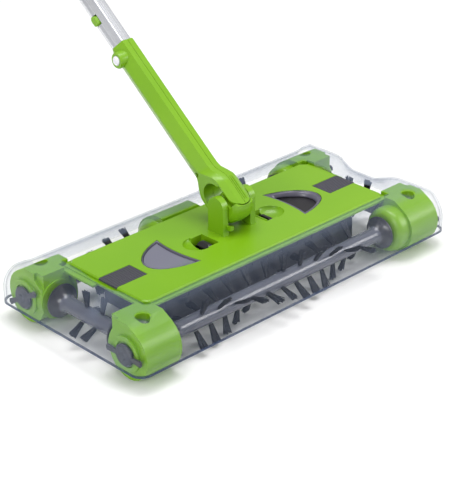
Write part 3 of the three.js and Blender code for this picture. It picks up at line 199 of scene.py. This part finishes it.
# ---------- materials ----------
class Nodes:
    """A short way to build one material's node tree."""

    def __init__(self, name):
        self.material = bpy.data.materials.new(name)
        self.material.use_nodes = True
        self.tree = self.material.node_tree
        self.shader = self.tree.nodes["Principled BSDF"]

    def add(self, kind, **inputs):
        node = self.tree.nodes.new(kind)
        for key, value in inputs.items():
            node.inputs[key.replace("_", " ")].default_value = value
        return node

    def link(self, output, target):
        self.tree.links.new(output, target)

    def coordinates(self, grain=(1, 1, 1), lean=0.0):
        """Object coordinates turned by `lean` about X, then divided by the grain's size on each axis."""
        texture = self.tree.nodes.new("ShaderNodeTexCoord")
        mapping = self.tree.nodes.new("ShaderNodeMapping")
        mapping.vector_type = "TEXTURE"
        mapping.inputs["Scale"].default_value = grain
        mapping.inputs["Rotation"].default_value = (lean, 0, 0)
        self.link(texture.outputs["Object"], mapping.inputs["Vector"])
        return mapping.outputs["Vector"]

    def noise(self, vector, scale, detail=3.0):
        node = self.add("ShaderNodeTexNoise", Scale=scale, Detail=detail)
        self.link(vector, node.inputs["Vector"])
        return node.outputs["Fac"]

    def ramp(self, value, low, high):
        node = self.tree.nodes.new("ShaderNodeValToRGB")
        node.color_ramp.elements[0].position = 0.35
        node.color_ramp.elements[0].color = (*low, 1)
        node.color_ramp.elements[1].position = 0.65
        node.color_ramp.elements[1].color = (*high, 1)
        self.link(value, node.inputs["Fac"])
        return node.outputs["Color"]

    def spread(self, value, low, high):
        node = self.add("ShaderNodeMapRange")
        node.inputs["To Min"].default_value = low
        node.inputs["To Max"].default_value = high
        self.link(value, node.inputs["Value"])
        return node.outputs["Result"]

    def bump(self, value, strength, distance):
        node = self.add("ShaderNodeBump", Strength=strength, Distance=distance * MM)
        self.link(value, node.inputs["Height"])
        self.link(node.outputs["Normal"], self.shader.inputs["Normal"])


def moulded(name, low, high, roughness, grain=0.12, coat=0.0, metallic=0.0):
    """Moulded plastic: a slow drift of colour, uneven gloss and a very fine skin."""
    nodes = Nodes(name)
    where = nodes.coordinates()
    nodes.link(nodes.ramp(nodes.noise(where, DRIFT, 2.0), low, high), nodes.shader.inputs["Base Color"])
    nodes.link(nodes.spread(nodes.noise(where, GLOSS), *roughness), nodes.shader.inputs["Roughness"])
    nodes.bump(nodes.noise(where, SKIN, 2.0), grain, 0.05)
    nodes.shader.inputs["Coat Weight"].default_value = coat
    nodes.shader.inputs["Coat Roughness"].default_value = 0.12
    nodes.shader.inputs["Metallic"].default_value = metallic
    return nodes.material


def clear_plastic_painted_light(name, alpha, low, high, power=2.2):
    """Thin clear plastic of one tint: clear face on, and more solid at a grazing angle as glass is; the
    tint it shows there is painted light, painted reflection on the cover and a painted dark edge on its
    rim.
    """
    nodes = Nodes(name)
    where = nodes.coordinates()
    nodes.link(nodes.ramp(nodes.noise(where, TINT, 2.0), low, high), nodes.shader.inputs["Base Color"])
    weight = nodes.add("ShaderNodeLayerWeight", Blend=0.3)
    grazing = nodes.tree.nodes.new("ShaderNodeMath")
    grazing.operation = "POWER"
    grazing.inputs[1].default_value = power
    nodes.link(weight.outputs["Facing"], grazing.inputs[0])
    nodes.link(nodes.spread(grazing.outputs["Value"], *alpha), nodes.shader.inputs["Alpha"])
    nodes.link(nodes.spread(nodes.noise(where, SMEARS), 0.02, 0.06), nodes.shader.inputs["Roughness"])
    nodes.shader.inputs["IOR"].default_value = 1.2
    return nodes.material


def drawn_metal(name):
    """Bright tube with faint lines drawn along it."""
    nodes = Nodes(name)
    along = nodes.coordinates(grain=(0.003, 0.003, 0.4), lean=-POLE_LEAN)
    lines = nodes.noise(along, 1.0, 2.0)
    nodes.link(nodes.ramp(lines, (0.60, 0.61, 0.65), (0.70, 0.71, 0.74)), nodes.shader.inputs["Base Color"])
    nodes.link(nodes.spread(lines, 0.22, 0.32), nodes.shader.inputs["Roughness"])
    nodes.bump(lines, 0.04, 0.02)
    nodes.shader.inputs["Metallic"].default_value = 0.6
    return nodes.material


def strand_fibre(name):
    """Near-black brush fibre with streaks of grey."""
    nodes = Nodes(name)
    where = nodes.coordinates()
    streaks = nodes.noise(where, STREAKS, 1.0)
    shade = nodes.ramp(streaks, (0.004, 0.004, 0.005), (0.016, 0.015, 0.018))
    nodes.link(shade, nodes.shader.inputs["Base Color"])
    nodes.link(nodes.spread(streaks, 0.4, 0.6), nodes.shader.inputs["Roughness"])
    nodes.shader.inputs["Specular IOR Level"].default_value = 0.25
    nodes.bump(streaks, 0.1, 0.05)
    return nodes.material


GREEN = moulded("green plastic", (0.155, 0.345, 0.002), (0.185, 0.385, 0.004), (0.32, 0.42), coat=0.1)
DARK_GREEN = moulded("dark green plastic", (0.004, 0.045, 0.008), (0.006, 0.06, 0.012), (0.35, 0.45))
CHARCOAL = moulded("charcoal plastic", (0.055, 0.055, 0.070), (0.075, 0.075, 0.092), (0.3, 0.42))
ROLL_GREY = moulded("roll plastic", (0.070, 0.074, 0.098), (0.095, 0.100, 0.128), (0.2, 0.3), coat=0.3)
FLARE_DARK = moulded("dark flare", (0.020, 0.020, 0.026), (0.034, 0.034, 0.042), (0.25, 0.35), coat=0.2)
RUBBER = moulded("whisker rubber", (0.045, 0.046, 0.052), (0.065, 0.066, 0.074), (0.5, 0.62), grain=0.3)
RIB_GREY = moulded("tread rubber", (0.045, 0.044, 0.058), (0.062, 0.060, 0.078), (0.45, 0.6), grain=0.3)
SMOKE = moulded("smoked plastic", (0.010, 0.009, 0.011), (0.018, 0.016, 0.020), (0.25, 0.35))
WHITE = moulded("white plastic", (0.74, 0.73, 0.80), (0.82, 0.81, 0.86), (0.3, 0.4))
STEEL = moulded("bright steel", (0.50, 0.50, 0.52), (0.62, 0.62, 0.64), (0.2, 0.35), metallic=0.95)
TUBE = drawn_metal("drawn tube")
FIBRE = strand_fibre("brush fibre")
# The cover's blue-grey, seen mostly at grazing angles, is painted reflection and sheen.
CLEAR_PAINTED_REFLECTION = clear_plastic_painted_light("clear cover painted reflection", (0.025, 0.95), (0.20, 0.25, 0.36), (0.24, 0.29, 0.40))
BEZEL = moulded("bezel plastic", (0.095, 0.090, 0.125), (0.125, 0.120, 0.160), (0.25, 0.35))
LENS = moulded("grey lens", (0.14, 0.14, 0.19), (0.20, 0.20, 0.26), (0.08, 0.14), coat=0.6)
# The rim band's near-black blue is painted shade: the dark edge line of the clear rim.
PAINTED_DARK_RIM = clear_plastic_painted_light("cover rim painted dark edge", (0.75, 0.95), (0.04, 0.06, 0.13), (0.06, 0.09, 0.17))
BLACK = moulded("black ring", (0.01, 0.01, 0.012), (0.02, 0.02, 0.022), (0.4, 0.5))

MATERIAL_OF_SLOT = {
    "green": GREEN, "dark_green": DARK_GREEN, "dark": CHARCOAL, "smoke": SMOKE, "white": WHITE,
    "steel": STEEL, "tube": TUBE, "bristle": FIBRE, "clear": CLEAR_PAINTED_REFLECTION,
}
MATERIAL_OF_NODE = {"tube_ring": BLACK, "window_lens_left": LENS}
for side in ("left", "right"):
    MATERIAL_OF_NODE[f"tray_latch_{side}"] = SMOKE
    MATERIAL_OF_NODE[f"tread_pad_{side}"] = RIB_GREY
    MATERIAL_OF_NODE[f"window_bezel_{side}"] = BEZEL
for end in ("front", "rear"):
    for side in ("left", "right"):
        MATERIAL_OF_NODE[f"side_whisker_{end}_{side}"] = RUBBER


# ---------- clear cover ----------
def rounded_ring(half_x, half_y, radius, arc_steps, side_steps):
    """Points round a rounded rectangle with how far each is into a short side's dip and over its ends."""
    ring = []
    for sx, sy, quarter in ((1, 1, 0), (-1, 1, 1), (-1, -1, 2), (1, -1, 3)):
        to_long_side = sx * sy > 0
        for i in range(arc_steps + 1):
            part = i / arc_steps
            angle = (quarter + part) * math.pi / 2
            x = sx * (half_x - radius) + radius * math.cos(angle)
            y = sy * (half_y - radius) + radius * math.sin(angle)
            ring.append((x, y, 0.0, 1 - part if to_long_side else part))
        if to_long_side:
            continue
        straight = half_y - radius
        for i in range(1, side_steps):
            along = 1 - 2 * i / side_steps
            dip = 1 - smoothstep(abs(along), *DIP_EDGE)
            ring.append((sx * half_x, -sx * straight * along, dip, smoothstep(abs(along), *END_EDGE)))
    return ring


def smoothstep(value, low, high):
    t = min(1.0, max(0.0, (value - low) / (high - low)))
    return t * t * (3 - 2 * t)


def cover_section(flat, width, rise, thick, steps=12):
    """One skin of the cover from its opening to its rim, as rows of (share of the width, height)."""
    rows = [(0, rise - thick), (flat / 2, rise - thick)]
    reach = 1 - flat - thick / width
    for i in range(steps + 1):
        angle = (1 - i / steps) * math.pi / 2
        rows.append((flat + reach * math.cos(angle), (rise - thick) * math.sin(angle)))
    rows.append((1 - thick / width, COVER["bottom"] + 2 * PAINTED_RIM_BAND - COVER["axis_z"]))
    rows.append((1 - thick / width, COVER["bottom"] - COVER["axis_z"]))
    return rows


def cover_mesh():
    """The cover's closed shell, with the band along its rim, painted dark as shade of the clear edge,
    marked by material index 1.
    """
    steps = (COVER_STEPS["arc"], COVER_STEPS["side"])
    outer = rounded_ring(COVER["x"], COVER["y"], COVER["corner"], *steps)
    inner = rounded_ring(OPENING["x"], OPENING["y"], OPENING["corner"], *steps)
    width = COVER["y"] - OPENING["y"]
    rise = COVER["crest"] - COVER["axis_z"]
    points = []
    faces = []
    for (x, y, dip, ends), (inner_x, inner_y, _, _) in zip(outer, inner):
        flat = COVER_FLAT["roll"] + (COVER_FLAT["end"] - COVER_FLAT["roll"]) * ends
        section = cover_section(flat, width, rise, 0)
        section += reversed(cover_section(flat, width, rise, COVER["thick"]))
        for across, height in section:
            drop = COVER_DIP * dip * height / rise if height > 0 else 0
            points.append((inner_x + (x - inner_x) * across, inner_y + (y - inner_y) * across,
                           COVER["axis_z"] + height - drop))
    rows = len(points) // len(outer)
    for i in range(len(outer)):
        j = (i + 1) % len(outer)
        for k in range(rows):
            m = (k + 1) % rows
            faces.append((i * rows + k, i * rows + m, j * rows + m, j * rows + k))
    mesh = mesh_from("cover_shell", points, faces)
    # Faces low on the rim take the painted dark edge.
    for face in mesh.polygons:
        face.material_index = 1 if face.center.z < (COVER["bottom"] + 1.5 * PAINTED_RIM_BAND) * MM else 0
    return mesh


def drill_well(cover, sx, sy):
    """Cuts the hole that lets a screwdriver reach one corner housing's screw."""
    rows = [(WELL["bottom"], 0), (WELL["bottom"], WELL["radius"]), (WELL["top"], WELL["radius"]),
            (WELL["top"], 0)]
    drill_mesh = lathe("drill", rows, 32)
    drill_mesh.transform(Matrix.Rotation(-math.pi / 2, 4, "Y"))
    drill = bpy.data.objects.new("drill", drill_mesh)
    drill.location = Vector((sx * ROLL["x"], sy * ROLL["y"], 0)) * MM
    bpy.context.scene.collection.objects.link(drill)
    hole = cover.modifiers.new("hole", "BOOLEAN")
    hole.object = drill
    hole.solver = "EXACT"
    bpy.context.view_layer.update()
    apply_modifiers(cover)
    bpy.data.objects.remove(drill)


def clear_cover():
    # The cover shows painted reflection at grazing angles, and its rim band a painted dark edge.
    cover = new_object("cover_shell", cover_mesh(), "head", CLEAR_PAINTED_REFLECTION, ["clear_cover"], PAINTED_DARK_RIM)
    for sx in (-1, 1):
        for sy in (-1, 1):
            drill_well(cover, sx, sy)
    smooth_by_angle(cover.data, TURNED_ANGLE)


# ---------- rolls and bristles ----------
def flare_rows(rim_at, inward, steps=9):
    """The trumpet at one end of a roll, from its rim down to the tube."""
    rows = [(rim_at, FLARE["rim"] - FLARE["lip"]), (rim_at + inward * FLARE["edge"], FLARE["rim"]),
            (rim_at + inward * FLARE["width"], FLARE["rim"])]
    for i in range(1, steps + 1):
        t = i / steps
        radius = ROLL["tube"] + (FLARE["rim"] - FLARE["root"] - ROLL["tube"]) * (1 - t) ** FLARE["curve"]
        rows.append((rim_at + inward * (FLARE["width"] + (FLARE["length"] - FLARE["width"]) * t), radius))
    return rows


def roll_mesh(name, low, high, shaft_end):
    """A roll's tube, flares and shaft about X, with the flares marked by material index 1."""
    rows = [(-shaft_end, 0), (-shaft_end, ROLL["shaft"]), (low, ROLL["shaft"])]
    rows += flare_rows(low, 1)
    rows += list(reversed(flare_rows(high, -1)))
    rows += [(high, ROLL["shaft"]), (shaft_end, ROLL["shaft"]), (shaft_end, 0)]
    mesh = lathe(name, rows)
    for face in mesh.polygons:
        reach = math.hypot(face.center.y, face.center.z) / MM
        face.material_index = 1 if reach > ROLL["tube"] + 0.8 else 0
    return mesh


def strand(points, faces, path, half):
    """A thin square fibre along a short path of (position, half thickness) rows."""
    first = len(points)
    for position, thickness in path:
        for across, deep in ((-1, -1), (1, -1), (1, 1), (-1, 1)):
            points.append((position[0] + across * thickness * half, position[1] + deep * thickness * half,
                           position[2]))
    last = len(path) - 1
    for level in range(last):
        for i in range(4):
            j = (i + 1) % 4
            a = first + level * 4
            faces.append((a + i, a + j, a + 4 + j, a + 4 + i))
    faces.append((first + 3, first + 2, first + 1, first))
    faces.append(tuple(first + last * 4 + i for i in range(4)))


def tuft(points, faces, dice, along, turn, tip):
    """One fan of fibres that stands on the roll at `along`, turned by `turn` about X."""
    lean = dice.uniform(-TUFT["lean"], TUFT["lean"])
    spin = Matrix.Rotation(turn, 3, "X")
    for _ in range(TUFT["fibres"]):
        u = dice.uniform(-1, 1)
        v = dice.uniform(-1, 1)
        length = tip - dice.uniform(0, TUFT["shorter"])
        wide, deep = FAN["root"]
        root = Vector((u * wide, v * deep, ROLL["tube"] + TUFT_ROOT))
        wide, deep = FAN["middle"]
        middle = Vector((u * wide + lean * 0.3, v * deep, (ROLL["tube"] + length) / 2))
        wide, deep = FAN["end"]
        end = Vector((u * wide + lean + dice.uniform(-STRAY[0], STRAY[0]),
                      v * deep + dice.uniform(-STRAY[1], STRAY[1]), length))
        begin = len(points)
        strand(points, faces, [(root, 1.0), (middle, 1.0), (end, 0.8)], TUFT["half"])
        for k in range(begin, len(points)):
            points[k] = tuple(spin @ Vector(points[k]) + Vector((along, 0, 0)))


def tufts(name, low, high, tip, twist, skip, seed):
    """Fans of fibres in helical rows about X, none of them inside `skip`."""
    dice = random.Random(seed)
    points = []
    faces = []
    pitch = TUFT["pitch"]
    rows = TUFT["rows"]
    count = int((high - low - TUFT["edge"]) // pitch)
    start = (low + high) / 2 - (count - 1) / 2 * pitch
    for row in range(rows):
        for i in range(count):
            along = start + i * pitch + (row % 2 - 0.5) * pitch / 2
            if skip and skip[0] < along < skip[1]:
                continue
            turn = (row / rows + along / TWIST_LENGTH * twist) * 2 * math.pi
            tuft(points, faces, dice, along, turn + dice.uniform(-JITTER, JITTER), tip)
    return mesh_from(name, points, faces)


def brush(end, core, hair, turn_z, place):
    """Puts one roll and its fibres in place on the roll's own body."""
    body = f"{end}_roll"
    move(core, turn_z, place)
    move(hair, turn_z, place)
    new_object(core.name, core, body, ROLL_GREY, [f"brush_roll_{end}"], FLARE_DARK)
    new_object(hair.name, hair, body, FIBRE, [f"bristles_{end}"])
    smooth_by_angle(core, TURNED_ANGLE)


def brushes():
    bare = FLARE["length"] + 1
    left, right, half = LONG_ROLL["left"], LONG_ROLL["right"], SHORT_ROLL["half"]
    for end, sy, skip, seed in (("front", -1, None, 3), ("rear", 1, DRIVE_GAP, 5)):
        core = roll_mesh(f"roll_{end}_core", left, right, LONG_ROLL["shaft_end"])
        hair = tufts(f"tufts_{end}", left + bare, right - bare, LONG_ROLL["tuft_tip"], 0.8, skip, seed)
        brush(end, core, hair, 0, (0, sy * ROLL["y"], ROLL["z"]))
    for side, sx, seed in (("left", -1, 7), ("right", 1, 9)):
        core = roll_mesh(f"roll_{side}_core", -half, half, SHORT_ROLL["shaft_end"])
        hair = tufts(f"tufts_{side}", bare - half, half - bare, SHORT_ROLL["tuft_tip"], -0.8, None, seed)
        brush(side, core, hair, math.pi / 2, (sx * ROLL["x"], 0, ROLL["z"]))


# ---------- stage, lights and camera ----------
def floor():
    """A pale studio floor that is wide enough to have no edge in view."""
    bpy.ops.mesh.primitive_plane_add(size=FLOOR_SIZE, location=(0, 0, 0))
    plane = bpy.context.object
    plane.name = "floor"
    nodes = Nodes("studio floor")
    where = nodes.coordinates()
    nodes.link(nodes.ramp(nodes.noise(where, FLOOR_DRIFT), (0.86, 0.86, 0.86), (0.88, 0.88, 0.88)),
               nodes.shader.inputs["Base Color"])
    nodes.shader.inputs["Roughness"].default_value = 0.9
    nodes.shader.inputs["Specular IOR Level"].default_value = 0.1
    plane.data.materials.append(nodes.material)


def area_light(name, position, target, size, power, colour=(1, 1, 1)):
    light = bpy.data.lights.new(name, "AREA")
    light.shape = "RECTANGLE"
    light.size, light.size_y = size
    light.energy = power
    light.color = colour
    lamp = bpy.data.objects.new(name, light)
    lamp.location = position
    lamp.rotation_euler = (Vector(target) - Vector(position)).to_track_quat("-Z", "Y").to_euler()
    bpy.context.scene.collection.objects.link(lamp)


def lights():
    world = bpy.data.worlds.new("studio")
    bpy.context.scene.world = world
    world.use_nodes = True
    background = world.node_tree.nodes["Background"]
    background.inputs["Color"].default_value = (1, 1, 1, 1)
    background.inputs["Strength"].default_value = 0.42
    area_light("top softbox", (0.1, 0.1, 1.8), (0, 0, 0), (1.4, 1.0), 27)
    area_light("front right softbox", (1.2, -1.3, 0.9), (0, 0, 0.03), (0.7, 0.9), 14)
    area_light("left strip", (-1.5, -0.5, 0.8), (0, 0, 0.03), (0.4, 1.0), 14)


def camera():
    azimuth = math.radians(CAMERA["azimuth"])
    elevation = math.radians(CAMERA["elevation"])
    back = Vector((math.sin(azimuth) * math.cos(elevation), -math.cos(azimuth) * math.cos(elevation),
                   math.sin(elevation)))
    right = Vector((math.cos(azimuth), math.sin(azimuth), 0))
    up = back.cross(right)
    roll = math.radians(CAMERA["roll"])
    turned_right = right * math.cos(roll) + up * math.sin(roll)
    turned_up = -right * math.sin(roll) + up * math.cos(roll)
    place = Matrix((turned_right, turned_up, back)).transposed().to_4x4()
    place.translation = (TARGET + back * CAMERA["distance"]) * MM
    data = bpy.data.cameras.new("camera")
    data.lens = CAMERA["lens"]
    data.sensor_width = 36
    data.clip_start = 0.05
    view = bpy.data.objects.new("camera", data)
    view.matrix_world = place
    bpy.context.scene.collection.objects.link(view)
    bpy.context.scene.camera = view


# ---------- build ----------
camera()
lights()
floor()
bpy.context.scene.view_settings.view_transform = "Standard"

REBUILT = {"clear_cover"} | {f"{kind}_{where}" for kind in ("brush_roll", "bristles")
                             for where in ("front", "rear", "left", "right")}
for node in sorted(NODES):
    if node not in REBUILT:
        finish = MATERIAL_OF_NODE.get(node, MATERIAL_OF_SLOT[SLOT_OF[node]])
        refined(node, finish, BEVEL_OF_NODE.get(node, BEVEL))
clear_cover()
brushes()
